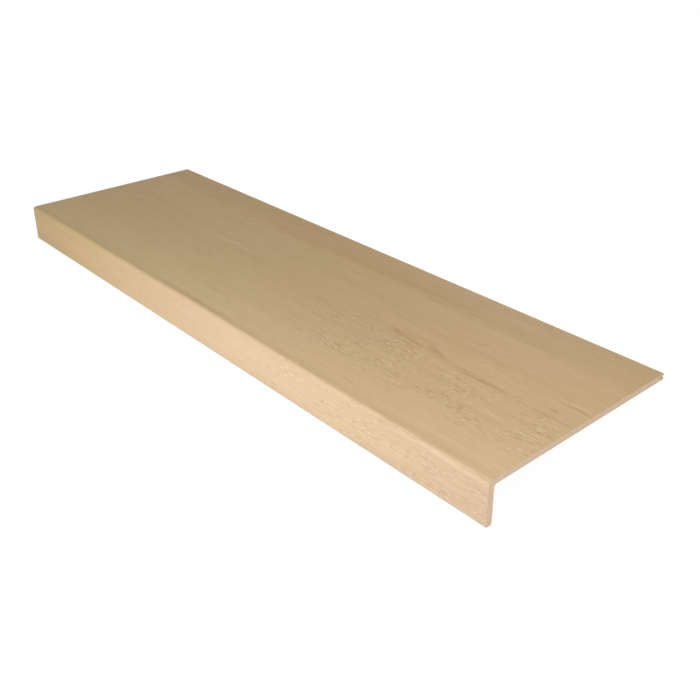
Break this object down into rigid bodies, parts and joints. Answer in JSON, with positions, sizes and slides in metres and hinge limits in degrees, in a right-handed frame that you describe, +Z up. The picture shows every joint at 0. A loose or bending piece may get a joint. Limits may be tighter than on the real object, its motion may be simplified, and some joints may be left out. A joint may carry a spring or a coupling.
{
  "type": "renovation stair tread",
  "caption": "Thin L-shaped board with a rounded nose folded down at the front and a groove along its back edge, glued over a worn step to renew its tread.",
  "frame": {"origin": "middle of the bounding box, on the floor that the nose's foot and the lower back edge stand on", "axes": "+X along the tread, +Y from the nose to the back edge, +Z up; the board leans 9.33 degrees down to the back, as it comes to rest unheld"},
  "size_m": [1, 0.305, 0.0559],
  "materials": {
    "oak_decor": "light oak decor, satin and finely pored, with a paler fibreboard core at the sawn ends"
  },
  "bodies": {
    "root": {"stair_tread": "oak_decor"}
  },
  "joints": []
}
